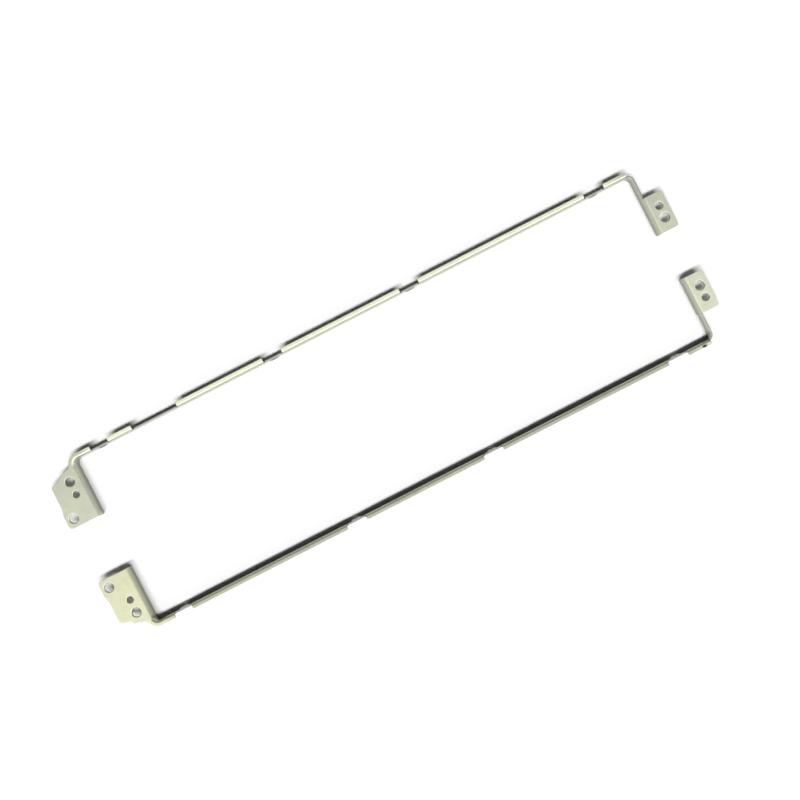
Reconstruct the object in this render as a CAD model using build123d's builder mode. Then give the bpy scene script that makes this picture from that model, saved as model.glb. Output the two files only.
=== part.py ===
"""Left and right side brackets of a laptop screen, each folded from one strip of sheet steel.

A wall stands around three sides of the screen's bay: a long rail with a short arm at each end.
A narrow flange is bent outwards from the top of the wall. It widens to a three-hole plate on
one arm and to a two-hole tab on the other, and it is notched away along the rail where the side
screws go through the wall into the screen.

The pair lies flange side up with the wall's lower edge on z = 0. The rails run along X with the
plates at the -X end, and the two bays face each other across Y. The origin is under the middle
of the pair. All sizes are in millimetres.
"""
import os
from math import radians, tan

from build123d import *

# The sheet and its bends
SHEET = 0.6
BEND_INSIDE = 0.3
CORNER_INSIDE = 1.8
ARM_CORNER = 1.0

# The section of the rail, with the flange measured from the wall's bay face
WALL_HEIGHT = 6.0
FLANGE_REACH = 1.8
FLANGE_CORNER = 0.4

# The bay between the arms, and the distance between the two rails as they lie
BAY_LENGTH = 206.0
RAIL_SPACING = 59.6

# Notches in the flange, as (distance from the bay face of the nearer arm, width)
PLATE_END_NOTCHES = ((10.2, 6.3), (74.1, 6.9))
TAB_END_NOTCHES = ((81.5, 6.9), (13.4, 7.2))
CLEARANCE_NOTCH = (30.5, 16.5)
NOTCH_DEPTH = 1.1
NOTCH_RADIUS = 0.5
CORNER_RELIEF = 1.5

# Pads pressed into the bay around the side screw holes
SIDE_HOLE = 2.4
PAD_RISE = 0.4
PAD_MARGIN = 0.55
PAD_SLOPE = 35

# The three-hole plate: lengths from the rail's bay face, reaches from the arm's bay face,
# and points as (length, reach), but the far hole from the far corner's two edges
PLATE_ARM = 20.1
PLATE_NECK = 1.1
PLATE_NECK_RADIUS = 0.6
PLATE_STEP = ((2.7, 5.9), (3.9, 6.8))
PLATE_STEP_RADIUS = 0.5
PLATE_SHOULDER = 4.8
PLATE_NARROW_REACH = 10.2
PLATE_NARROW_END = 12.5
PLATE_WIDE_START = 15.0
PLATE_WIDE_REACH = 10.8
PLATE_CORNER = 1.2
PLATE_SCREW_HOLE = 3.0
PLATE_NEAR_HOLE = (5.8, 3.75)
PLATE_FAR_HOLE_INSET = (3.0, 2.75)
LOCATING_HOLE = 2.1
LOCATING_HOLE_PLACE = (10.4, 3.75)

# The two-hole tab, measured the same way
TAB_ARM = 21.7
TAB_START = 8.6
TAB_REACH = 6.7
TAB_CORNER = 1.0
TAB_SMALL_HOLE = 2.4
TAB_SMALL_HOLE_PLACE = (13.0, 3.6)
TAB_LARGE_HOLE = 3.0
TAB_LARGE_HOLE_PLACE = (17.25, 3.6)

# Broken upper rims of the punched holes
RIM_CHAMFER = 0.25

# Relief under the right bracket's tab arm, between its corner and the tab
HEEL_START = 2.6
HEEL_HEIGHT = 1.0

# Places worked out from the sizes above, with the screw notches all from the plate arm's bay face
SCREW_NOTCHES = PLATE_END_NOTCHES + tuple((BAY_LENGTH - place, width) for place, width in TAB_END_NOTCHES)
BEND_OUTSIDE = BEND_INSIDE + SHEET
FLANGE_UNDERSIDE = WALL_HEIGHT - SHEET
NOTCH_FLOOR = WALL_HEIGHT - NOTCH_DEPTH
BAY_CENTRE = (PLATE_WIDE_REACH - TAB_REACH) / 2
PLATE_FACE = BAY_CENTRE - BAY_LENGTH / 2
TAB_FACE = BAY_CENTRE + BAY_LENGTH / 2
RAIL_FACE = -RAIL_SPACING / 2
PLATE_FAR_HOLE = (PLATE_ARM - PLATE_FAR_HOLE_INSET[0], PLATE_WIDE_REACH - PLATE_FAR_HOLE_INSET[1])
PAD_RADIUS = NOTCH_FLOOR / 2 - PAD_MARGIN
DIMPLE_RADIUS = PAD_RADIUS - SHEET * tan(radians(PAD_SLOPE / 2))

# Planes on the rail's and the tab arm's bay faces, one at the pads' height that looks into the
# bay, and two on top of the plate and the tab with x along the arm and y away from the bay
RAIL_PLANE = Plane.XZ.offset(-RAIL_FACE)
TAB_ARM_PLANE = Plane.YZ.offset(TAB_FACE)
PAD_PLANE = Plane((PLATE_FACE, RAIL_FACE, NOTCH_FLOOR / 2), x_dir=(-1, 0, 0), z_dir=(0, 1, 0))
PLATE_PLANE = Plane((PLATE_FACE, RAIL_FACE, WALL_HEIGHT), x_dir=(0, 1, 0), z_dir=(0, 0, 1))
TAB_PLANE = Plane((TAB_FACE, RAIL_FACE, WALL_HEIGHT), x_dir=(0, 1, 0), z_dir=(0, 0, -1))


def angle_section(plane):
    """The L section of the wall and its flange, with x away from the bay and y upwards."""
    with BuildSketch(plane) as section:
        with BuildLine():
            bay_side = FilletPolyline(
                (0, 0),
                (0, WALL_HEIGHT),
                (FLANGE_REACH, WALL_HEIGHT),
                radius=BEND_OUTSIDE,
            )
            outer_side = FilletPolyline(
                (FLANGE_REACH, FLANGE_UNDERSIDE),
                (SHEET, FLANGE_UNDERSIDE),
                (SHEET, 0),
                radius=BEND_INSIDE,
            )
            Line(bay_side @ 1, outer_side @ 0)
            Line(outer_side @ 1, bay_side @ 0)
        make_face()
    return section.sketch


def angle_strip():
    """The wall and its flange: the L section carried around the three sides of the bay."""
    first_bend = PLATE_FACE + CORNER_INSIDE
    last_bend = TAB_FACE - CORNER_INSIDE
    bend_line = RAIL_FACE + CORNER_INSIDE
    plate_arm = angle_section(Plane((PLATE_FACE, bend_line, 0), x_dir=(-1, 0, 0), z_dir=(0, 1, 0)))
    rail = angle_section(Plane((first_bend, RAIL_FACE, 0), x_dir=(0, -1, 0), z_dir=(-1, 0, 0)))
    tab_arm = angle_section(Plane((TAB_FACE, bend_line, 0), x_dir=(1, 0, 0), z_dir=(0, -1, 0)))
    with BuildPart() as strip:
        extrude(plate_arm, amount=PLATE_ARM - CORNER_INSIDE)
        revolve(plate_arm, axis=Axis((first_bend, bend_line, 0), (0, 0, 1)), revolution_arc=90)
        extrude(rail, amount=first_bend - last_bend)
        revolve(tab_arm, axis=Axis((last_bend, bend_line, 0), (0, 0, -1)), revolution_arc=90)
        extrude(tab_arm, amount=CORNER_INSIDE - TAB_ARM)
    return strip.part


def screw_plate():
    """The plate that the flange widens to on one arm, from the end of the bend outwards."""
    shoulder_corner = (PLATE_SHOULDER, PLATE_NARROW_REACH)
    far_corner = (PLATE_ARM, PLATE_WIDE_REACH)
    with BuildPart() as plate:
        with BuildSketch(PLATE_PLANE) as outline:
            with BuildLine():
                Polyline(
                    (PLATE_NECK, BEND_OUTSIDE),
                    *PLATE_STEP,
                    shoulder_corner,
                    (PLATE_NARROW_END, PLATE_NARROW_REACH),
                    (PLATE_WIDE_START, PLATE_WIDE_REACH),
                    far_corner,
                    (PLATE_ARM, BEND_OUTSIDE),
                    close=True,
                )
            make_face()
            for corner in PLATE_STEP:
                fillet(outline.vertices().sort_by_distance(corner)[0], PLATE_STEP_RADIUS)
            for corner in (shoulder_corner, far_corner):
                fillet(outline.vertices().sort_by_distance(corner)[0], PLATE_CORNER)
            with Locations(PLATE_NEAR_HOLE, PLATE_FAR_HOLE):
                Circle(PLATE_SCREW_HOLE / 2, mode=Mode.SUBTRACT)
            with Locations(LOCATING_HOLE_PLACE):
                Circle(LOCATING_HOLE / 2, mode=Mode.SUBTRACT)
        extrude(amount=-SHEET)
    return plate.part


def screw_tab():
    """The tab that the flange widens to on the other arm."""
    with BuildPart() as tab:
        with BuildSketch(TAB_PLANE) as outline:
            with BuildLine():
                Polyline(
                    (TAB_START, BEND_OUTSIDE),
                    (TAB_START, TAB_REACH),
                    (TAB_ARM, TAB_REACH),
                    (TAB_ARM, BEND_OUTSIDE),
                    close=True,
                )
            make_face()
            fillet(outline.vertices().group_by(Axis.Y)[-1], TAB_CORNER)
            with Locations(TAB_SMALL_HOLE_PLACE):
                Circle(TAB_SMALL_HOLE / 2, mode=Mode.SUBTRACT)
            with Locations(TAB_LARGE_HOLE_PLACE):
                Circle(TAB_LARGE_HOLE / 2, mode=Mode.SUBTRACT)
        extrude(amount=SHEET)
    return tab.part


def folded_bracket(plain_notches=()):
    """One bracket with its rail on the -Y side, and plain notches beside those of the screws."""
    with BuildPart() as bracket:
        add(angle_strip())
        add(screw_plate())
        add(screw_tab())

        # Notches along the rail, through the flange and down into the wall
        with BuildSketch(RAIL_PLANE):
            for station, width in SCREW_NOTCHES + plain_notches:
                with Locations((PLATE_FACE + station, WALL_HEIGHT)):
                    RectangleRounded(width, 2 * NOTCH_DEPTH, NOTCH_RADIUS)
        extrude(amount=2 * FLANGE_REACH, both=True, mode=Mode.SUBTRACT)

        # The bare corner between the rail's last flange and the tab
        with BuildSketch(RAIL_PLANE):
            with Locations((TAB_FACE, WALL_HEIGHT)):
                RectangleRounded(2 * CORNER_RELIEF, 2 * NOTCH_DEPTH, NOTCH_RADIUS)
                Rectangle(2 * FLANGE_REACH, 2 * NOTCH_DEPTH, align=(Align.MIN, Align.CENTER))
        extrude(amount=2 * FLANGE_REACH, both=True, mode=Mode.SUBTRACT)
        with BuildSketch(TAB_ARM_PLANE):
            with Locations((RAIL_FACE, WALL_HEIGHT)):
                RectangleRounded(2 * TAB_START, 2 * NOTCH_DEPTH, NOTCH_RADIUS)
        extrude(amount=2 * FLANGE_REACH, mode=Mode.SUBTRACT)

        # Round pads pressed into the bay, with a dimple behind each and the screw hole through it
        pad_centres = [(-station, 0) for station, width in SCREW_NOTCHES]
        with BuildSketch(PAD_PLANE):
            with Locations(pad_centres):
                Circle(PAD_RADIUS)
        extrude(amount=PAD_RISE, taper=PAD_SLOPE)
        with BuildSketch(PAD_PLANE.offset(-SHEET)):
            with Locations(pad_centres):
                Circle(DIMPLE_RADIUS)
        extrude(amount=PAD_RISE, taper=PAD_SLOPE, mode=Mode.SUBTRACT)
        with BuildSketch(PAD_PLANE):
            with Locations(pad_centres):
                Circle(SIDE_HOLE / 2)
        extrude(amount=2 * SHEET, both=True, mode=Mode.SUBTRACT)

        # Rounded free corners along the flange, inside the plate's neck and under the arms' ends
        outermost = bracket.edges().filter_by(Axis.Z).group_by(Axis.Y)[0]
        flange_ends = outermost.filter_by_position(Axis.X, PLATE_FACE + 2 * CORNER_INSIDE, TAB_FACE)
        fillet(flange_ends, FLANGE_CORNER)
        neck = (PLATE_FACE - FLANGE_REACH, RAIL_FACE + PLATE_NECK, WALL_HEIGHT - SHEET / 2)
        fillet(bracket.edges().filter_by(Axis.Z).sort_by_distance(neck)[0], PLATE_NECK_RADIUS)
        for arm_end in ((PLATE_FACE, RAIL_FACE + PLATE_ARM, 0), (TAB_FACE, RAIL_FACE + TAB_ARM, 0)):
            fillet(bracket.edges().filter_by(Axis.X).sort_by_distance(arm_end)[0], ARM_CORNER)

        # Broken rims on the upper side of the holes in the plate and the tab
        rims = bracket.edges().group_by(Axis.Z)[-1]
        chamfer([rim for rim in rims if rim.is_closed], RIM_CHAMFER)
    return bracket.part


# The right bracket, with the relief that raises its tab arm's lower edge
with BuildPart() as right_bracket:
    add(folded_bracket())
    with BuildSketch(TAB_ARM_PLANE):
        with BuildLine():
            Polyline(
                (RAIL_FACE + HEEL_START, 0),
                (RAIL_FACE + HEEL_START, HEEL_HEIGHT),
                (RAIL_FACE + TAB_START, HEEL_HEIGHT),
                (RAIL_FACE + TAB_START, 0),
                close=True,
            )
        make_face()
    extrude(amount=SHEET, mode=Mode.SUBTRACT)

# The left bracket is its mirror image, with one more notch in the flange and no relief
with BuildPart() as left_bracket:
    mirror(folded_bracket((CLEARANCE_NOTCH,)), about=Plane.XZ)

os.makedirs("parts", exist_ok=True)
left_bracket.part.label = "left_bracket"
right_bracket.part.label = "right_bracket"
export_step(left_bracket.part, "parts/left_bracket.step")
export_step(right_bracket.part, "parts/right_bracket.step")
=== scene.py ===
"""Folds and finishes a pair of laptop screen brackets: two strips of plated sheet steel on a pale table.

Each bracket is one sheet. Its flat pattern is laid out with all notches and holes, divided into triangles and
folded: pattern length runs round the bay along the wall, and pattern width runs up the wall, over the bend and out
along the flange. The sheared edges are rolled over, and the side screws' pads are pressed in.
"""

import math

import bpy
import numpy as np
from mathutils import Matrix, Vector
from mathutils.geometry import delaunay_2d_cdt


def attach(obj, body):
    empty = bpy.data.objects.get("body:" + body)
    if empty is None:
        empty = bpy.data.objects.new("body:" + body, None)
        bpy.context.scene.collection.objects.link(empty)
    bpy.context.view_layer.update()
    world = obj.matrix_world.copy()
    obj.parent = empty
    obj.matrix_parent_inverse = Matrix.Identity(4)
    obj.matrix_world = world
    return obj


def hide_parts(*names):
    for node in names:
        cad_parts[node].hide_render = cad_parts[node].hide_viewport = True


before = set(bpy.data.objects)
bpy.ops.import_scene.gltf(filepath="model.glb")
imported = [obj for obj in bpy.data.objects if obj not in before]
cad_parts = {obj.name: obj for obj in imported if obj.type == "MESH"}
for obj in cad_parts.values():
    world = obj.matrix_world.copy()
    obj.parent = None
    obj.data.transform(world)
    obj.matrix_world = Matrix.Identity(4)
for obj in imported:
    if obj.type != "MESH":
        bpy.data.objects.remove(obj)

bl_info = {
    "name": "Screen Bracket Pair",
    "version": (1, 0, 0),
    "blender": (4, 5, 0),
    "location": "3D View > Sidebar > Brackets",
    "description": "Folds two screen brackets from sheet steel, finishes them and sets a table, light and camera",
    "category": "Object",
}

MM = 0.001

# The sheet and its bends, in millimetres as in the solids
SHEET = 0.6
BEND = 0.9
CORNER = 1.8
ARM_CORNER = 1.0

# The wall, its flange and the bay between the arms
WALL_HEIGHT = 6.0
FLANGE_REACH = 1.8
FLANGE_CORNER = 0.4
SPRINGBACK = math.radians(6)
SPRING_TRIM = 0.02
SPRING_RUN = 8.0
BAY_LENGTH = 206.0
RAIL_FACE = -29.8

# Notches along the rail as (distance from the plate arm, width), and the pads below them
SCREW_NOTCHES = ((10.2, 6.3), (74.1, 6.9), (124.5, 6.9), (192.6, 7.2))
CLEARANCE_NOTCH = (30.5, 16.5)
NOTCH_FLOOR = 4.9
NOTCH_RADIUS = 0.5
CORNER_RELIEF = 1.5
SIDE_HOLE = 2.4
PAD_HEIGHT = 2.45
PAD_RISE = 0.25
PAD_FOOT = 1.9
PAD_CROWN = 1.5

# The three-hole plate, with points as (distance from the rail, reach from the arm)
PLATE_ARM = 20.1
PLATE_NECK = (1.380, 1.775)
PLATE_NECK_RADIUS = 0.6
PLATE_STEP = ((2.7, 5.9), (3.9, 6.8))
PLATE_STEP_RADIUS = 0.5
PLATE_SHOULDER = (4.8, 10.2)
PLATE_NARROW_END = (12.5, 10.2)
PLATE_WIDE_START = (15.0, 10.8)
PLATE_CORNER = 1.2
PLATE_HOLES = ((5.8, 3.75, 3.0), (17.1, 8.05, 3.0), (10.4, 3.75, 2.1))

# The two-hole tab, measured the same way
TAB_ARM = 21.7
TAB_START = 8.6
TAB_REACH = 6.7
TAB_CORNER = 1.0
TAB_HOLES = ((13.0, 3.6, 2.4), (17.25, 3.6, 3.0))

# Relief under the right bracket's tab arm, as (start, end, height)
HEEL = (2.6, 8.6, 1.0)

# Middle and half sizes of a dark spot in the plating, in metres
SPOT_PLACE = (0.1010, -0.0311, 0.006)
SPOT_SIZE = (0.0009, 0.00045, 0.001)

# The pattern's grid: usual step along the strip, and steps round a corner, up the wall, over the bend and outwards
STRIP_STEP = 1.6
CORNER_STEPS = 14
WALL_STEPS = 4
BEND_STEPS = 10
FLANGE_STEPS = 8

# Points round a hole, rings that follow the holes and pads, and how far grid points keep from holes and edges
RIM_POINTS = 44
RING_POINTS = 30
RING_GAPS = (0.25, 0.65)
PAD_RINGS = 6
HOLE_CLEARANCE = 0.9
EDGE_CLEARANCE = 0.13

# Rows over a sheared edge's upper and lower corner, the small step used for slopes, and what counts as nought
ROLL_ROWS = 5
BURR_ROWS = 4
NUDGE = 1e-3
SAME_PLACE = 1e-6
NO_AREA = 1e-9

# Scales of the finish's noises, for each metre
GRAIN_SCALE = (160, 7000, 1)
SCRATCH_SCALE = (110, 6000, 400)
SCRATCH_TURN = 0.65
MOTTLE_SCALE = 420
PATCH_SCALE = 110
SPECKLE_SCALE = 5200

# What each mark in the finish does, as (factor on the brightness, change of the roughness)
SCRATCHED = (1.12, 0.08)
BENT = (1.04, 0.08)
RUBBED = (1.1, -0.03)
TORN = (0.7, 0.25)
STAINED = (0.12, 0.3)
# Painted shade: the factor by which the walls are drawn darker towards their foot
WALL_FOOT_PAINTED_SHADE = 0.66
CUT_ROUGHNESS = 0.06
BUMP_DEPTH = 0.00001

# Where the yellower plating sets in along X and along Y, in metres
WARM_X = (-0.07, -0.1)
WARM_Y = (0, -0.01)

# The table: half size, gap under the part, its darker side, and where the camera sees it run out to plain white
TABLE_HALF = 3.0
TABLE_GAP = 2e-5
TABLE_SHADE = 0.9
SHADE_HEADING = (0.2, 1, 0)
SHADE_SPAN = (-0.15, 0.15)
TABLE_SEEN = (0.25, 0.7)

# The room, by the cosine to the window and by height: the window's edge, the dimming of its low part, the soft
# light's edge, and the pale wall below with its two brightnesses
WINDOW_EDGE = (-0.4, 0.4)
LOW_EDGE = (-0.5, 0)
LOW_LIGHT = (0.18, 0.65)
LOW_HEIGHT = (0.1, 0.6)
FILL_EDGE = (-0.1, 0.5)
WALL_TOP = (0.05, 0.2)
WALL_LIGHT = (0.3, 1)

# The camera's sensor in millimetres and its nearest distance in metres
SENSOR = 36
NEAREST = 0.01

# Ends of the runs along the pattern: plate arm, corner, rail, corner, tab arm
TURN = CORNER * math.pi / 2
ARM_END = PLATE_ARM - CORNER
RAIL_START = ARM_END + TURN
RAIL_END = RAIL_START + BAY_LENGTH - 2 * CORNER
TAB_RUN = RAIL_END + TURN
PATTERN_END = TAB_RUN + TAB_ARM - CORNER

# Heights on the pattern where the flange's bend starts and ends, and the plate arm's bay face along X
BEND_START = WALL_HEIGHT - BEND
BEND_END = BEND_START + BEND * math.pi / 2
PLATE_FACE = (PLATE_WIDE_START[1] - TAB_REACH - BAY_LENGTH) / 2


def pattern_reach(reach):
    """Pattern width of a point on the flange, from its reach away from the wall's bay face."""
    return BEND_END + reach - BEND


def unit(vectors):
    """The vectors at length one."""
    return vectors / np.linalg.norm(vectors, axis=-1, keepdims=True)


def left_of(directions):
    """The directions turned a quarter turn to the left."""
    return np.stack([-directions[..., 1], directions[..., 0]], axis=-1)


def rounded_loop(corners, steps=6):
    """A closed outline from rows of (place, place, radius), with every corner turned into an arc.

    The arc leaves the incoming side r tan(turn / 2) before the corner and swings evenly by the turn between the
    two sides about a centre that lies r to the side. A corner of radius nought stays one point.
    """
    corners = np.array(corners, float)
    place, radius = corners[:, :2], corners[:, 2:]
    into = unit(place - np.roll(place, 1, axis=0))
    out = np.roll(into, -1, axis=0)
    turn = np.arctan2(
        into[:, 0] * out[:, 1] - into[:, 1] * out[:, 0],
        (into * out).sum(axis=1),
    )[:, None]
    spoke = -np.sign(turn) * radius * left_of(into)
    centre = place - radius * np.abs(np.tan(turn / 2)) * into - spoke
    swing = turn * np.linspace(0, 1, steps + 1)
    arcs = (
        centre[:, None]
        + np.cos(swing)[..., None] * spoke[:, None]
        + np.sin(swing)[..., None] * left_of(spoke)[:, None]
    )
    loop = arcs.reshape(-1, 2)
    return loop[np.linalg.norm(loop - np.roll(loop, 1, axis=0), axis=1) > SAME_PLACE]


def cut_at_lines(loop, columns, rows, shortest=0.4, margin=0.06):
    """The loop with points added where its long sides cross the grid's columns and rows."""
    step = np.roll(loop, -1, axis=0) - loop
    length = np.linalg.norm(step, axis=1)
    keys = [np.arange(len(loop), dtype=float)]
    for axis, lines in ((0, columns), (1, rows)):
        with np.errstate(divide="ignore", invalid="ignore"):
            share = (lines[None] - loop[:, axis, None]) / step[:, axis, None]
        inside = (share * length[:, None] > margin) & ((1 - share) * length[:, None] > margin)
        inside &= (length > shortest)[:, None] & (np.abs(step[:, axis]) > 0.5 * length)[:, None]
        side, line = np.nonzero(inside)
        keys.append(side + share[side, line])
    keys = np.unique(np.concatenate(keys))
    side = keys.astype(int)
    return loop[side] + (keys - side)[:, None] * step[side]


def hole_loop(centre, diameter, points=RIM_POINTS):
    """A hole's rim, run clockwise so that the sheet lies on its left."""
    angle = -np.linspace(0, 2 * math.pi, points, endpoint=False)
    return np.array(centre) + diameter / 2 * np.stack([np.cos(angle), np.sin(angle)], axis=1)


def inward(loop):
    """At each point of a loop, the step into the sheet that moves both sides inwards by one."""
    into = unit(loop - np.roll(loop, 1, axis=0))
    out = np.roll(into, -1, axis=0)
    return (left_of(into) + left_of(out)) / (1 + (into * out).sum(axis=1, keepdims=True))


def inside_loop(points, loop):
    """True for points inside the loop: a ray to the right crosses it an odd number of times."""
    ahead = np.roll(loop, -1, axis=0)
    across = (loop[None, :, 1] > points[:, 1, None]) != (ahead[None, :, 1] > points[:, 1, None])
    rise = np.where(ahead[:, 1] == loop[:, 1], 1.0, ahead[:, 1] - loop[:, 1])
    slope = (ahead[:, 0] - loop[:, 0]) / rise
    crossing = loop[None, :, 0] + slope * (points[:, 1, None] - loop[None, :, 1])
    return (across & (points[:, 0, None] < crossing)).sum(axis=1) % 2 == 1


def rail_place(distance):
    """Pattern length of a place on the rail, from its distance to the plate arm's bay face."""
    return RAIL_START + distance - CORNER


def tab_place(distance):
    """Pattern length of a place on the tab arm, from its distance to the rail's bay face."""
    return TAB_RUN + distance - CORNER


def plate_point(distance, reach):
    """Pattern place of a point of the plate: straight along the arm, and fanned about the corner's centre."""
    behind = max(CORNER - distance, 0.0)
    spread = math.atan2(behind, reach + CORNER) * CORNER
    radius = math.hypot(behind, reach + CORNER) - CORNER
    return PLATE_ARM - max(distance, CORNER) + spread, pattern_reach(radius)


def bracket_outline(notches, heel):
    """The flat pattern's outer edge, counter-clockwise from the foot of the plate arm, as corners with radii."""
    flange = pattern_reach(FLANGE_REACH - SPRING_TRIM)
    tab = pattern_reach(TAB_REACH)
    tab_start = tab_place(TAB_START)
    relief = rail_place(BAY_LENGTH - CORNER_RELIEF)
    corners = [(0, 0, ARM_CORNER)]
    if heel:
        start, end, height = HEEL
        corners += [(tab_place(start), 0, 0), (tab_place(start), height, 0)]
        corners += [(tab_place(end), height, 0), (tab_place(end), 0, 0)]
    corners += [
        (PATTERN_END, 0, ARM_CORNER),
        (PATTERN_END, tab, TAB_CORNER),
        (tab_start, tab, TAB_CORNER),
        (tab_start, NOTCH_FLOOR, NOTCH_RADIUS),
        (relief, NOTCH_FLOOR, NOTCH_RADIUS),
        (relief, flange, FLANGE_CORNER),
    ]
    for distance, width in sorted(notches, reverse=True):
        near, far = rail_place(distance - width / 2), rail_place(distance + width / 2)
        corners += [(far, flange, FLANGE_CORNER), (far, NOTCH_FLOOR, NOTCH_RADIUS)]
        corners += [(near, NOTCH_FLOOR, NOTCH_RADIUS), (near, flange, FLANGE_CORNER)]
    corners += [
        (plate_point(*PLATE_NECK)[0], flange, PLATE_NECK_RADIUS),
        *((*plate_point(*point), PLATE_STEP_RADIUS) for point in PLATE_STEP),
        (*plate_point(*PLATE_SHOULDER), PLATE_CORNER),
        (*plate_point(*PLATE_NARROW_END), 0),
        (*plate_point(*PLATE_WIDE_START), 0),
        (*plate_point(PLATE_ARM, PLATE_WIDE_START[1]), PLATE_CORNER),
    ]
    return corners


def pad_places():
    """Pattern places of the side screws' pads along the rail."""
    return np.array([(rail_place(distance), PAD_HEIGHT) for distance, width in SCREW_NOTCHES])


def press(pattern):
    """How far the pads push the sheet into the bay: a smooth step from nought at the foot to full at the crown."""
    away = np.linalg.norm(pattern[:, None] - pad_places()[None], axis=2).min(axis=1)
    share = np.clip((PAD_FOOT - away) / (PAD_FOOT - PAD_CROWN), 0, 1)
    return PAD_RISE * share * share * (3 - 2 * share)


def springback(length):
    """How far the bend stays short of square along the pattern: nought on the arms, full along the rail."""
    inside = np.minimum(length - RAIL_START, RAIL_END - length)
    share = np.clip(inside / SPRING_RUN, 0, 1)
    return SPRINGBACK * share * share * (3 - 2 * share)


def fold(pattern, depth):
    """Folded places of pattern points that lie some depth under the sheet's bay side, in millimetres.

    The profile is o, z = 0, w up the wall, then an arc of radius R turned by b, which adds R (1 - cos b), R sin b, and
    then the rest of w along the flange. Springback s takes the arc's full turn from 90 to 90 - s degrees and R to
    B 90 / (90 - s), so that the flange rises outwards by s. The wall above the notches' floor gives up as much height
    as keeps the flange's outer edge level with the arms'. The path turns the outward direction by a quarter at both
    corners, and a point is the path's centre plus (corner radius + o) in that direction.
    """
    length, width = pattern.T
    spring = springback(length)
    share = 1 - spring / (math.pi / 2)
    radius = BEND / share
    bend = np.clip((width - BEND_START) / BEND, 0, math.pi / 2) * share
    rest = np.maximum(width - BEND_END, 0)
    out = radius * (1 - np.cos(bend)) + rest * np.cos(spring) + np.cos(bend) * depth - press(pattern)
    lift = radius * np.cos(spring) + (FLANGE_REACH - BEND) * np.sin(spring)
    upper = np.clip((width - NOTCH_FLOOR) / (BEND_START - NOTCH_FLOOR), 0, 1)
    height = np.minimum(width, NOTCH_FLOOR) + upper * (WALL_HEIGHT - lift - NOTCH_FLOOR)
    height = height + radius * np.sin(bend) + rest * np.sin(spring) - np.sin(bend) * depth
    heading = math.pi + math.pi / 2 * (
        np.clip((length - ARM_END) / TURN, 0, 1) + np.clip((length - RAIL_END) / TURN, 0, 1)
    )
    x = PLATE_FACE + CORNER + np.clip(length, RAIL_START, RAIL_END) - RAIL_START
    y = RAIL_FACE + CORNER + ARM_END - np.minimum(length, ARM_END) + np.maximum(length - TAB_RUN, 0)
    away = CORNER + out
    return np.stack([x + away * np.cos(heading), y + away * np.sin(heading), height], axis=1)


def sheet_normals(pattern):
    """Bay-side normals of the folded sheet, from the cross product of its two slopes."""
    level = np.zeros(len(pattern))
    along, across = np.array([NUDGE, 0]), np.array([0, NUDGE])
    lengthwise = fold(pattern + along, level) - fold(pattern - along, level)
    widthwise = fold(pattern + across, level) - fold(pattern - across, level)
    return unit(np.cross(widthwise, lengthwise))


def grid_lines():
    """Columns and rows of the pattern's grid: fine round the corners and over the bend, wider elsewhere."""
    runs = (
        (0, ARM_END, round(ARM_END / STRIP_STEP)),
        (ARM_END, RAIL_START, CORNER_STEPS),
        (RAIL_START, RAIL_END, round((RAIL_END - RAIL_START) / STRIP_STEP)),
        (RAIL_END, TAB_RUN, CORNER_STEPS),
        (TAB_RUN, PATTERN_END, round((PATTERN_END - TAB_RUN) / STRIP_STEP)),
    )
    rises = (
        (0, BEND_START, WALL_STEPS),
        (BEND_START, BEND_END, BEND_STEPS),
        (BEND_END, pattern_reach(PLATE_WIDE_START[1]), FLANGE_STEPS),
    )
    columns, rows = (
        np.unique(np.concatenate([np.linspace(start, end, steps + 1) for start, end, steps in spans]))
        for spans in (runs, rises)
    )
    return columns, rows


def sheet_holes():
    """Pattern places and diameters of the plate's, the tab's and the side screws' holes, in that order."""
    plate = [(plate_point(distance, reach), size) for distance, reach, size in PLATE_HOLES]
    tab = [((tab_place(distance), pattern_reach(reach)), size) for distance, reach, size in TAB_HOLES]
    side = [(pad, SIDE_HOLE) for pad in pad_places()]
    return plate + tab + side


def inner_points(loops, holes, columns, rows):
    """Pattern points inside the sheet: the grid's, and rings that follow the holes and pads."""
    grid = np.stack(np.meshgrid(columns, rows), axis=-1).reshape(-1, 2)
    pads = pad_places()
    rings = [
        hole_loop(centre, diameter + 2 * gap, RING_POINTS)
        for centre, diameter in holes[: -len(pads)]
        for gap in RING_GAPS
    ]
    radii = np.linspace(PAD_CROWN, PAD_FOOT, PAD_RINGS)
    rings += [hole_loop(pad, 2 * radius) for pad in pads for radius in radii]
    centres = np.array([centre for centre, diameter in holes])
    clear = np.array([diameter / 2 + HOLE_CLEARANCE for centre, diameter in holes])
    away = np.linalg.norm(grid[:, None] - centres[None], axis=2)
    points = np.concatenate([grid[(away > clear).all(axis=1)], *rings])
    points = points[inside_loop(points, loops[0])]
    edge = np.concatenate(loops)
    gap = np.linalg.norm(points[:, None] - edge[None], axis=2).min(axis=1)
    return points[gap > EDGE_CLEARANCE]


def divide_sheet(loops, points):
    """Triangles that fill the sheet between its loops, as rows of indices into the loops' points and the others."""
    places = np.concatenate([*loops, points])
    counts = [len(loop) for loop in loops]
    starts = np.cumsum([0, *counts[:-1]])
    edges = np.concatenate([
        np.stack([np.arange(n), np.roll(np.arange(n), -1)], axis=1) + start for n, start in zip(counts, starts)
    ])
    made = delaunay_2d_cdt([Vector(p) for p in places], edges.tolist(), [], 0, SAME_PLACE, False)
    if len(made[0]) != len(places):
        raise RuntimeError("two points of the bracket's flat pattern coincide")
    triangles = np.array(made[2])
    a, b, c = (places[triangles[:, i]] for i in range(3))
    area = (b[:, 0] - a[:, 0]) * (c[:, 1] - a[:, 1]) - (b[:, 1] - a[:, 1]) * (c[:, 0] - a[:, 0])
    triangles[area < 0] = triangles[area < 0][:, ::-1]
    middle = (a + b + c) / 3
    kept = inside_loop(middle, loops[0])
    for loop in loops[1:]:
        kept &= ~inside_loop(middle, loop)
    return triangles[kept & (np.abs(area) > NO_AREA)]


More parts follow.
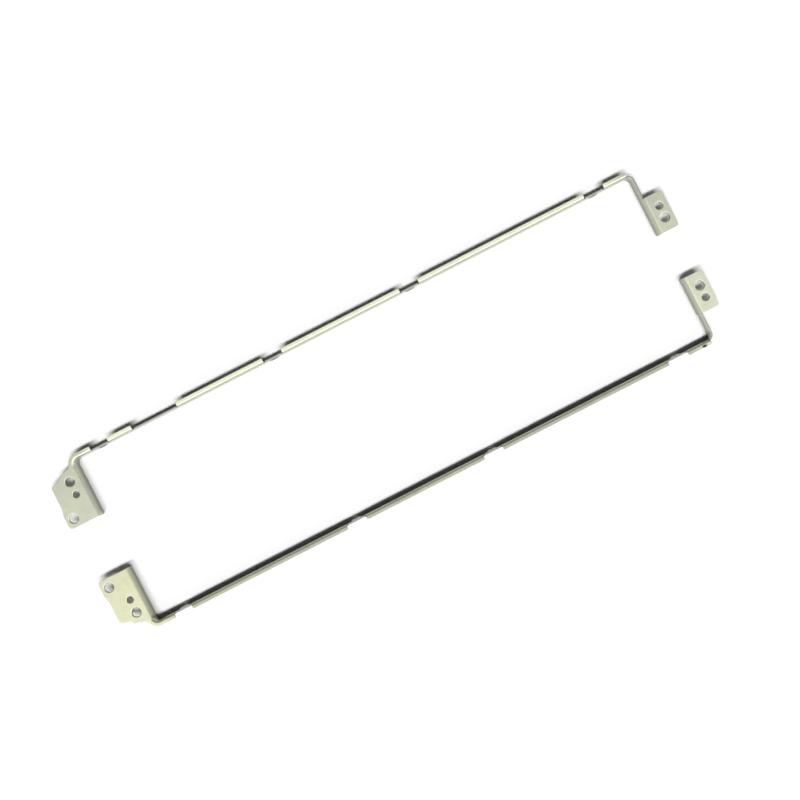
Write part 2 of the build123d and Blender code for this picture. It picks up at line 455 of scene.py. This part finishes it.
def rim_rows(roll, burr):
    """Inset, depth and lean of the rows round a sheared edge: a rolled upper corner, the cut, a small lower corner.

    Over the upper corner the lean a goes from 0 to 90 degrees with inset r (1 - sin a) and depth r (1 - cos a). The
    lower corner carries on to 180 degrees in the same way.
    """
    upper = np.linspace(0, math.pi / 2, ROLL_ROWS)
    lower = np.linspace(math.pi / 2, math.pi, BURR_ROWS)
    inset = np.concatenate([roll * (1 - np.sin(upper)), burr * (1 - np.sin(lower))])
    depth = np.concatenate([roll * (1 - np.cos(upper)), SHEET - burr * (1 + np.cos(lower))])
    return inset, depth, np.concatenate([upper, lower])


def rim_rings(loop, step, roll, burr):
    """Places, depths, normals and cut shares of the rows that lie between a loop's bay side and its back."""
    inset, depth, lean = (rows[1:-1] for rows in rim_rows(roll, burr))
    level = np.zeros(len(loop))
    outward = unit(fold(loop - NUDGE * step, level) - fold(loop + NUDGE * step, level))
    upward = sheet_normals(loop)
    places = loop[None] + inset[:, None, None] * step[None]
    normals = np.cos(lean)[:, None, None] * upward + np.sin(lean)[:, None, None] * outward
    depths, shares = (np.repeat(values, len(loop)) for values in (depth, np.sin(lean)))
    return places.reshape(-1, 2), depths, normals.reshape(-1, 3), shares


def bracket_sheet(notches, heel, edge_roll, hole_roll, burr):
    """Vertices, faces, normals, pattern places, cut shares and depths of one folded bracket, with its rail at -Y.

    The bay side and the back are the same triangles at depth nought and one sheet. Rows of quadrilaterals join them
    round every loop, each at its own inset and depth.
    """
    columns, rows = grid_lines()
    holes, sides = sheet_holes(), len(SCREW_NOTCHES)
    edges = [cut_at_lines(rounded_loop(bracket_outline(notches, heel)), columns, rows)]
    edges += [hole_loop(centre, diameter) for centre, diameter in holes]
    rolls = [edge_roll] + [hole_roll] * (len(holes) - sides) + [edge_roll] * sides
    steps = [inward(loop) for loop in edges]
    fronts = [loop + roll * step for loop, step, roll in zip(edges, steps, rolls)]
    points = inner_points(fronts, holes, columns, rows)
    triangles = divide_sheet(fronts, points)

    front = np.concatenate([*fronts, points])
    back = np.concatenate([*(loop + burr * step for loop, step in zip(edges, steps)), points])
    places = [front, back]
    depths = [np.zeros(len(front)), np.full(len(back), SHEET)]
    normals = [sheet_normals(front), -sheet_normals(back)]
    shares = [np.zeros(len(front)), np.zeros(len(back))]
    faces = [*triangles[:, ::-1].tolist(), *(triangles + len(front)).tolist()]
    first, total = 0, 2 * len(front)
    for loop, step, roll in zip(edges, steps, rolls):
        rings = rim_rings(loop, step, roll, burr)
        for kept, values in zip((places, depths, normals, shares), rings):
            kept.append(values)
        upper = first + np.arange(len(loop))[None]
        inner = total + np.arange(len(rings[0])).reshape(-1, len(loop))
        index = np.concatenate([upper, inner, upper + len(front)])
        ahead = np.roll(index, -1, axis=1)
        quads = np.stack([index[:-1], ahead[:-1], ahead[1:], index[1:]], axis=-1)
        faces += quads.reshape(-1, 4).tolist()
        first, total = first + len(loop), total + inner.size
    pattern, depth = np.concatenate(places), np.concatenate(depths)
    return fold(pattern, depth), faces, np.concatenate(normals), pattern, np.concatenate(shares), depth


def place_object(name, data):
    """A new object in the scene, at the origin, for a mesh, lamp or camera."""
    made = bpy.data.objects.new(name, data)
    bpy.context.scene.collection.objects.link(made)
    return made


def mesh_piece(name, sheet, mirrored):
    """A mesh object from a folded sheet in millimetres, turned over to the other hand where asked."""
    vertices, faces, normals, pattern, shares, depth = sheet
    if mirrored:
        flip = np.array([1, -1, 1])
        vertices, normals = vertices * flip, normals * flip
        faces = [face[::-1] for face in faces]
    mesh = bpy.data.meshes.new(name)
    mesh.from_pydata((vertices * MM).tolist(), [], faces)
    mesh.polygons.foreach_set("use_smooth", np.ones(len(faces), bool))
    corner_vertex = np.empty(len(mesh.loops), np.int32)
    mesh.loops.foreach_get("vertex_index", corner_vertex)
    layer = mesh.uv_layers.new(name="pattern")
    layer.data.foreach_set("uv", (pattern[corner_vertex] * MM).ravel().astype(np.float32))
    for attribute, values in (("sheared", shares), ("depth", depth / SHEET)):
        made = mesh.attributes.new(attribute, "FLOAT", "POINT")
        made.data.foreach_set("value", values.astype(np.float32))
    mesh.update()
    mesh.normals_split_custom_set_from_vertices(normals.tolist())
    return place_object(name, mesh)


def add_node(tree, kind, inputs=None, **settings):
    """A shader node with its settings, and its inputs set to values or joined to other nodes' sockets."""
    node = tree.nodes.new(kind)
    for name, value in settings.items():
        setattr(node, name, value)
    for name, value in (inputs or {}).items():
        if isinstance(value, bpy.types.NodeSocket):
            tree.links.new(value, node.inputs[name])
        else:
            node.inputs[name].default_value = value
    return node


def ramp(tree, value, low, high, to_low, to_high, smooth=False):
    """The value carried from one range to another and held at its ends."""
    limits = {"Value": value, "From Min": low, "From Max": high, "To Min": to_low, "To Max": to_high}
    kind = "SMOOTHSTEP" if smooth else "LINEAR"
    return add_node(tree, "ShaderNodeMapRange", limits, interpolation_type=kind).outputs["Result"]


def blend_colours(tree, share, first, second):
    """A mix of two colours by a share, where a colour is a node's socket or three values."""
    ends = [value if isinstance(value, bpy.types.NodeSocket) else (*value, 1) for value in (first, second)]
    node = add_node(tree, "ShaderNodeMix", {0: share, 6: ends[0], 7: ends[1]}, data_type="RGBA")
    return node.outputs[2]


def scale_colour(tree, colour, factor):
    """A colour made lighter or darker by a factor."""
    node = add_node(tree, "ShaderNodeVectorMath", {"Vector": colour, "Scale": factor}, operation="SCALE")
    return node.outputs["Vector"]


def noise(tree, place, scale, detail):
    """Soft seedless noise over a place, from nought to one."""
    inputs = {"Vector": place, "Scale": scale, "Detail": detail, "Roughness": 0.55}
    return add_node(tree, "ShaderNodeTexNoise", inputs).outputs["Fac"]


def combine(tree, operation, first, second):
    """One step of arithmetic on two values."""
    node = add_node(tree, "ShaderNodeMath", {0: first, 1: second}, operation=operation)
    return node.outputs["Value"]


def dot_product(tree, first, second):
    """The dot product of a place or heading with a fixed direction."""
    node = add_node(tree, "ShaderNodeVectorMath", {0: first, 1: second}, operation="DOT_PRODUCT")
    return node.outputs["Value"]


def distance_of(tree, place):
    """The distance of a place from the origin."""
    return add_node(tree, "ShaderNodeVectorMath", {0: place}, operation="LENGTH").outputs["Value"]


def steel_noises(tree, place, pattern):
    """Grain drawn out along the strip, mottle, patches in the plating, fine speckle and a few long scratches."""
    drawn = add_node(tree, "ShaderNodeMapping", {"Vector": pattern, "Scale": GRAIN_SCALE})
    turned = {"Vector": place, "Rotation": (0, 0, SCRATCH_TURN), "Scale": SCRATCH_SCALE}
    lines = noise(tree, add_node(tree, "ShaderNodeMapping", turned).outputs["Vector"], 1, 1)
    return {
        "grain": noise(tree, drawn.outputs["Vector"], 1, 4),
        "mottle": noise(tree, place, MOTTLE_SCALE, 5),
        "patches": noise(tree, place, PATCH_SCALE, 2),
        "speckle": noise(tree, place, SPECKLE_SCALE, 2),
        "scratches": ramp(tree, lines, 0.69, 0.76, 0, 1),
    }


def steel_marks(tree, place, pattern, mottle):
    """Shares of the bend, the painted shade on the wall's foot, rubbed rims, the cut, its torn lower part, warm
    plating and the stain.
    """
    across = add_node(tree, "ShaderNodeSeparateXYZ", {"Vector": pattern}).outputs["Y"]
    sides = add_node(tree, "ShaderNodeSeparateXYZ", {"Vector": place}).outputs
    sheared = add_node(tree, "ShaderNodeAttribute", attribute_name="sheared").outputs["Fac"]
    depth = add_node(tree, "ShaderNodeAttribute", attribute_name="depth").outputs["Fac"]
    into_bend = ramp(tree, across, (BEND_START - 0.3) * MM, (BEND_START + 0.3) * MM, 0, 1, smooth=True)
    out_of_bend = ramp(tree, across, (BEND_END - 0.2) * MM, (BEND_END + 0.4) * MM, 1, 0, smooth=True)
    warm_x, warm_y = ramp(tree, sides["X"], *WARM_X, 0, 1), ramp(tree, sides["Y"], *WARM_Y, 0, 1)
    rim = ramp(tree, sheared, 0.05, 0.5, 0, 1)
    cut = ramp(tree, sheared, 0.8, 1.0, 0, 1)
    spot = {"Vector": place, "Location": SPOT_PLACE, "Scale": SPOT_SIZE}
    spot = add_node(tree, "ShaderNodeMapping", spot, vector_type="TEXTURE").outputs["Vector"]
    ragged = combine(tree, "ADD", distance_of(tree, spot), ramp(tree, mottle, 0.3, 0.7, -0.2, 0.2))
    return {
        "bend": combine(tree, "MULTIPLY", into_bend, out_of_bend),
        # Painted shade on the walls: full at the wall's foot, fading to nought over the bend
        "foot": ramp(tree, across, 0.3 * BEND_START * MM, BEND_END * MM, 1, 0, smooth=True),
        "rubbed": combine(tree, "MULTIPLY", rim, ramp(tree, mottle, 0.4, 0.6, 0.2, 1)),
        "cut": cut,
        "torn": combine(tree, "MULTIPLY", cut, ramp(tree, depth, 0.35, 0.5, 0, 1)),
        "warm": combine(tree, "MULTIPLY", warm_x, warm_y),
        "stain": ramp(tree, ragged, 0.7, 1.15, 1, 0, smooth=True),
    }


def steel_colour(tree, settings, noises, marks):
    """The plating in its two tints and its warm one, shaded by its marks and by painted shade on the walls, with raw
    metal on the cuts and the stain.
    """
    drift = ramp(tree, noises["patches"], 0.35, 0.65, 0, 1)
    colour = blend_colours(tree, drift, settings.plating_colour, settings.plating_tint)
    colour = blend_colours(tree, marks["warm"], colour, settings.plating_warm)
    colour = scale_colour(tree, colour, ramp(tree, noises["mottle"], 0.3, 0.7, 0.95, 1.05))
    for share, factor in (
        (noises["scratches"], SCRATCHED[0]),
        (marks["bend"], BENT[0]),
        # painted shade on the walls towards their foot
        (marks["foot"], WALL_FOOT_PAINTED_SHADE),
        (marks["rubbed"], RUBBED[0]),
    ):
        colour = scale_colour(tree, colour, ramp(tree, share, 0, 1, 1, factor))
    colour = blend_colours(tree, marks["cut"], colour, settings.sheared_colour)
    for share, factor in ((marks["torn"], TORN[0]), (marks["stain"], STAINED[0])):
        colour = scale_colour(tree, colour, ramp(tree, share, 0, 1, 1, factor))
    return colour


def steel_roughness(tree, settings, noises, marks):
    """The satin finish's roughness, uneven over patches and grain and changed by each mark."""
    rough = combine(tree, "ADD", ramp(tree, noises["patches"], 0.3, 0.7, -0.03, 0.03), settings.roughness)
    rough = combine(tree, "ADD", rough, ramp(tree, noises["grain"], 0.3, 0.7, -0.02, 0.02))
    for share, change in (
        (marks["bend"], BENT[1]),
        (marks["rubbed"], RUBBED[1]),
        (marks["cut"], CUT_ROUGHNESS),
        (marks["torn"], TORN[1]),
        (noises["scratches"], SCRATCHED[1]),
        (marks["stain"], STAINED[1]),
    ):
        rough = combine(tree, "ADD", rough, combine(tree, "MULTIPLY", share, change))
    return rough


def steel_bump(tree, noises, torn):
    """Shallow bump from grain and speckle, with sunk scratches and a coarser torn part of the cuts."""
    relief = combine(tree, "ADD", noises["grain"], combine(tree, "MULTIPLY", noises["speckle"], 0.8))
    relief = combine(tree, "SUBTRACT", relief, combine(tree, "MULTIPLY", noises["scratches"], 0.6))
    coarse = combine(tree, "MULTIPLY", noises["speckle"], 3)
    relief = combine(tree, "ADD", relief, combine(tree, "MULTIPLY", torn, coarse))
    bump = add_node(tree, "ShaderNodeBump", {"Height": relief, "Strength": 0.2, "Distance": BUMP_DEPTH})
    return bump.outputs["Normal"]


def plated_steel(settings):
    """Satin plated sheet: drawn grain, uneven plating, worn rims, raw cuts, scratches, a dark spot, and walls darkened
    by painted shade.
    """
    material = bpy.data.materials.new("plated_steel_finish")
    material.use_nodes = True
    tree = material.node_tree
    pattern = add_node(tree, "ShaderNodeUVMap", uv_map="pattern").outputs["UV"]
    place = add_node(tree, "ShaderNodeTexCoord").outputs["Object"]
    noises = steel_noises(tree, place, pattern)
    marks = steel_marks(tree, place, pattern, noises["mottle"])
    shader = tree.nodes["Principled BSDF"]
    shader.inputs["Metallic"].default_value = 1.0
    shader.inputs["Specular Tint"].default_value = (0.9, 0.9, 0.88, 1)
    tree.links.new(steel_colour(tree, settings, noises, marks), shader.inputs["Base Color"])
    tree.links.new(steel_roughness(tree, settings, noises, marks), shader.inputs["Roughness"])
    tree.links.new(steel_bump(tree, noises, marks["torn"]), shader.inputs["Normal"])
    return material


def pale_table(settings):
    """Matt white table top, a little darker on its near side, which the camera sees run out to plain white."""
    material = bpy.data.materials.new("pale_table_top")
    material.use_nodes = True
    tree = material.node_tree
    shader = tree.nodes["Principled BSDF"]
    place = add_node(tree, "ShaderNodeTexCoord").outputs["Object"]
    cloud = noise(tree, place, 6, 2)
    white = settings.table_colour
    shade = [TABLE_SHADE * value for value in white]
    share = ramp(tree, dot_product(tree, place, SHADE_HEADING), *SHADE_SPAN, 0, 1)
    share = combine(tree, "ADD", share, ramp(tree, cloud, 0.3, 0.7, -0.05, 0.05))
    tree.links.new(blend_colours(tree, share, shade, white), shader.inputs["Base Color"])
    shader.inputs["Roughness"].default_value = 0.9
    shader.inputs["Specular IOR Level"].default_value = 0.1
    seen = add_node(tree, "ShaderNodeLightPath").outputs["Is Camera Ray"]
    far = ramp(tree, distance_of(tree, place), *TABLE_SEEN, 0, 1, smooth=True)
    far = combine(tree, "MULTIPLY", seen, far)
    plain = add_node(tree, "ShaderNodeEmission", {"Color": (1, 1, 1, 1), "Strength": 1.0}).outputs["Emission"]
    surface = add_node(tree, "ShaderNodeMixShader", {0: far, 1: shader.outputs["BSDF"], 2: plain})
    tree.links.new(surface.outputs["Shader"], tree.nodes["Material Output"].inputs["Surface"])
    return material


def lay_table(settings):
    """The square table top, a hair's breadth under the brackets."""
    mesh = bpy.data.meshes.new("table_top")
    half = TABLE_HALF
    square = [(-half, -half, 0), (half, -half, 0), (half, half, 0), (-half, half, 0)]
    mesh.from_pydata(square, [], [(0, 1, 2, 3)])
    mesh.materials.append(pale_table(settings))
    table = place_object("table_top", mesh)
    table.location.z = -TABLE_GAP


def hang_lamp(settings):
    """The strip lamp, tilted to the rails, which lights evenly at any distance and isn't mirrored in the metal."""
    lamp = bpy.data.lights.new("strip_lamp", "AREA")
    lamp.shape = "RECTANGLE"
    lamp.size, lamp.size_y = settings.lamp_size
    lamp.energy = settings.lamp_power
    lamp.use_nodes = True
    tree = lamp.node_tree
    even = add_node(tree, "ShaderNodeLightFalloff", {"Strength": 1.0})
    tree.links.new(even.outputs["Constant"], tree.nodes["Emission"].inputs["Strength"])
    hung = place_object("strip_lamp", lamp)
    hung.location = settings.lamp_place
    hung.rotation_euler.x = math.atan2(settings.lamp_place[1], settings.lamp_place[2])
    hung.visible_glossy = False


def set_camera(settings):
    """The camera, straight over the brackets and turned about the vertical."""
    camera = bpy.data.cameras.new("camera")
    camera.lens = settings.camera_lens
    camera.sensor_width = SENSOR
    camera.clip_start = NEAREST
    seat = place_object("camera", camera)
    seat.location = settings.camera_place
    seat.rotation_euler.z = settings.camera_turn
    bpy.context.scene.camera = seat


def light_room(settings):
    """The room: soft light from the window's side, white to the camera, and a picture for the metal to mirror.

    What the metal mirrors goes from dim to bright towards the window, is dimmer low down, and has a pale wall along
    its foot. Light that has met a matt surface before sees the soft light only.
    """
    world = bpy.data.worlds.new("room")
    world.use_nodes = True
    tree = world.node_tree
    heading = add_node(tree, "ShaderNodeTexCoord").outputs["Generated"]
    upward = add_node(tree, "ShaderNodeSeparateXYZ", {"Vector": heading}).outputs["Z"]
    turn = settings.camera_turn + settings.window_turn
    facing = dot_product(tree, heading, (math.sin(turn), -math.cos(turn), 0))
    glow = ramp(tree, facing, *WINDOW_EDGE, settings.dim_light, settings.window_light, smooth=True)
    low = ramp(tree, facing, *LOW_EDGE, *LOW_LIGHT, smooth=True)
    glow = combine(tree, "MULTIPLY", glow, ramp(tree, upward, *LOW_HEIGHT, low, 1, smooth=True))
    wall = ramp(tree, upward, *WALL_TOP, 1, 0, smooth=True)
    wall = combine(tree, "MULTIPLY", wall, ramp(tree, facing, *LOW_EDGE, *WALL_LIGHT, smooth=True))
    room = combine(tree, "MAXIMUM", glow, wall)
    fill = ramp(tree, facing, *FILL_EDGE, settings.back_light, settings.fill_light, smooth=True)
    rays = add_node(tree, "ShaderNodeLightPath").outputs
    mirrored = combine(tree, "MAXIMUM", rays["Is Glossy Ray"], rays["Is Transmission Ray"])
    mirrored = combine(tree, "MULTIPLY", mirrored, ramp(tree, rays["Diffuse Depth"], 0, 1, 1, 0))
    strength = ramp(tree, mirrored, 0, 1, fill, room)
    strength = combine(tree, "MAXIMUM", strength, rays["Is Camera Ray"])
    background = tree.nodes["Background"]
    background.inputs["Color"].default_value = (1, 1, 1, 1)
    tree.links.new(strength, background.inputs["Strength"])
    bpy.context.scene.world = world


class BracketSettings(bpy.types.PropertyGroup):
    """Edges and finish of the two brackets."""

    edge_roll: bpy.props.FloatProperty(
        name="Edge roll",
        description="Radius at which the outline's upper edge is rolled over by shearing, in millimetres",
        default=0.12,
        min=0.02,
        max=0.25,
    )
    hole_roll: bpy.props.FloatProperty(
        name="Hole roll",
        description="Radius at which the holes' upper rims are rolled over, in millimetres",
        default=0.36,
        min=0.02,
        max=0.45,
    )
    burr: bpy.props.FloatProperty(
        name="Lower edge",
        description="Radius of the sheared edge on the far side of the sheet, in millimetres",
        default=0.05,
        min=0.01,
        max=0.2,
    )
    plating_colour: bpy.props.FloatVectorProperty(
        name="Plating",
        description="Colour of the plated sheet",
        subtype="COLOR",
        default=(0.446, 0.468, 0.374),
        min=0,
        max=1,
    )
    plating_tint: bpy.props.FloatVectorProperty(
        name="Plating tint",
        description="Colour that the plating drifts to in patches",
        subtype="COLOR",
        default=(0.486, 0.496, 0.378),
        min=0,
        max=1,
    )
    plating_warm: bpy.props.FloatVectorProperty(
        name="Warm plating",
        description="Colour of the yellower plating on the right bracket's plate",
        subtype="COLOR",
        default=(0.479, 0.481, 0.334),
        min=0,
        max=1,
    )
    sheared_colour: bpy.props.FloatVectorProperty(
        name="Sheared edge",
        description="Colour of the cut edges",
        subtype="COLOR",
        default=(0.36, 0.36, 0.342),
        min=0,
        max=1,
    )
    roughness: bpy.props.FloatProperty(
        name="Roughness",
        description="Middle roughness of the satin finish",
        subtype="FACTOR",
        default=0.16,
        min=0.1,
        max=1,
    )


class StageSettings(bpy.types.PropertyGroup):
    """Table, light and camera."""

    table_colour: bpy.props.FloatVectorProperty(
        name="Table",
        description="Colour of the table top",
        subtype="COLOR",
        default=(0.985, 0.985, 0.985),
        min=0,
        max=1,
    )
    lamp_place: bpy.props.FloatVectorProperty(
        name="Lamp place",
        description="Where the middle of the strip lamp hangs",
        subtype="TRANSLATION",
        unit="LENGTH",
        default=(-0.24, -0.703, 2.4),
    )
    lamp_size: bpy.props.FloatVectorProperty(
        name="Lamp size",
        description="Length and width of the strip lamp, which lies along the rails",
        size=2,
        unit="LENGTH",
        default=(1.68, 0.39),
        min=0.01,
    )
    lamp_power: bpy.props.FloatProperty(
        name="Lamp power",
        description="Power of the lamp",
        unit="POWER",
        default=12.2,
        min=0,
    )
    fill_light: bpy.props.FloatProperty(
        name="Fill light",
        description="Strength of the soft light that comes from the window's side of the room",
        default=0.4,
        min=0,
    )
    back_light: bpy.props.FloatProperty(
        name="Back light",
        description="Strength of the soft light that comes from the side across from the window",
        default=0.03,
        min=0,
    )
    window_light: bpy.props.FloatProperty(
        name="Window light",
        description="Brightness that the metal mirrors from the window's side of the room",
        default=2.25,
        min=0,
    )
    dim_light: bpy.props.FloatProperty(
        name="Dim side",
        description="Brightness that the metal mirrors from the side across from the window",
        default=0.605,
        min=0,
    )
    window_turn: bpy.props.FloatProperty(
        name="Window turn",
        description="How far the window's side is swung from the picture's foot towards its right side",
        subtype="ANGLE",
        default=math.radians(23),
    )
    camera_place: bpy.props.FloatVectorProperty(
        name="Camera place",
        description="Where the camera hangs, looking straight down",
        subtype="TRANSLATION",
        unit="LENGTH",
        default=(0.00397, -0.00138, 0.335),
    )
    camera_turn: bpy.props.FloatProperty(
        name="Camera turn",
        description="Turn of the camera about the vertical",
        subtype="ANGLE",
        default=math.radians(-27.061),
    )
    camera_lens: bpy.props.FloatProperty(
        name="Camera lens",
        description="Focal length in millimetres on a 36 mm wide sensor",
        default=45.14,
        min=10,
    )


class BRACKETS_OT_fold(bpy.types.Operator):
    """Fold both brackets from their flat patterns and give them their plated finish"""

    bl_idname = "brackets.fold"
    bl_label = "Fold brackets"

    def execute(self, context):
        settings = context.scene.bracket_settings
        finish = plated_steel(settings)
        hands = (
            ("left_bracket", SCREW_NOTCHES + (CLEARANCE_NOTCH,), False, True),
            ("right_bracket", SCREW_NOTCHES, True, False),
        )
        for node, notches, heel, mirrored in hands:
            sheet = bracket_sheet(notches, heel, settings.edge_roll, settings.hole_roll, settings.burr)
            piece = mesh_piece(f"{node}_sheet", sheet, mirrored)
            piece.data.materials.append(finish)
            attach(piece, "root")
            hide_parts(node)
        return {"FINISHED"}


class BRACKETS_OT_stage(bpy.types.Operator):
    """Lay the table, hang the lamp and set the camera over the brackets"""

    bl_idname = "brackets.stage"
    bl_label = "Set stage"

    def execute(self, context):
        settings = context.scene.bracket_stage
        lay_table(settings)
        hang_lamp(settings)
        set_camera(settings)
        light_room(settings)
        context.scene.view_settings.view_transform = "Standard"
        return {"FINISHED"}


class BRACKETS_PT_panel(bpy.types.Panel):
    """Sidebar panel with the brackets' settings and steps"""

    bl_idname = "BRACKETS_PT_panel"
    bl_label = "Screen brackets"
    bl_space_type = "VIEW_3D"
    bl_region_type = "UI"
    bl_category = "Brackets"

    def draw(self, context):
        for settings, step in (
            (context.scene.bracket_settings, BRACKETS_OT_fold),
            (context.scene.bracket_stage, BRACKETS_OT_stage),
        ):
            column = self.layout.column()
            for name in settings.__annotations__:
                column.prop(settings, name)
            column.operator(step.bl_idname)


CLASSES = (BracketSettings, StageSettings, BRACKETS_OT_fold, BRACKETS_OT_stage, BRACKETS_PT_panel)


def register():
    """Add the classes and their settings to Blender."""
    for cls in CLASSES:
        bpy.utils.register_class(cls)
    bpy.types.Scene.bracket_settings = bpy.props.PointerProperty(type=BracketSettings)
    bpy.types.Scene.bracket_stage = bpy.props.PointerProperty(type=StageSettings)


def unregister():
    """Take the settings and classes out of Blender again."""
    del bpy.types.Scene.bracket_stage
    del bpy.types.Scene.bracket_settings
    for cls in reversed(CLASSES):
        bpy.utils.unregister_class(cls)


def main():
    """Make the pieces and the stage."""
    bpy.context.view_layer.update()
    register()
    bpy.ops.brackets.fold()
    bpy.ops.brackets.stage()


if __name__ == "__main__":
    main()
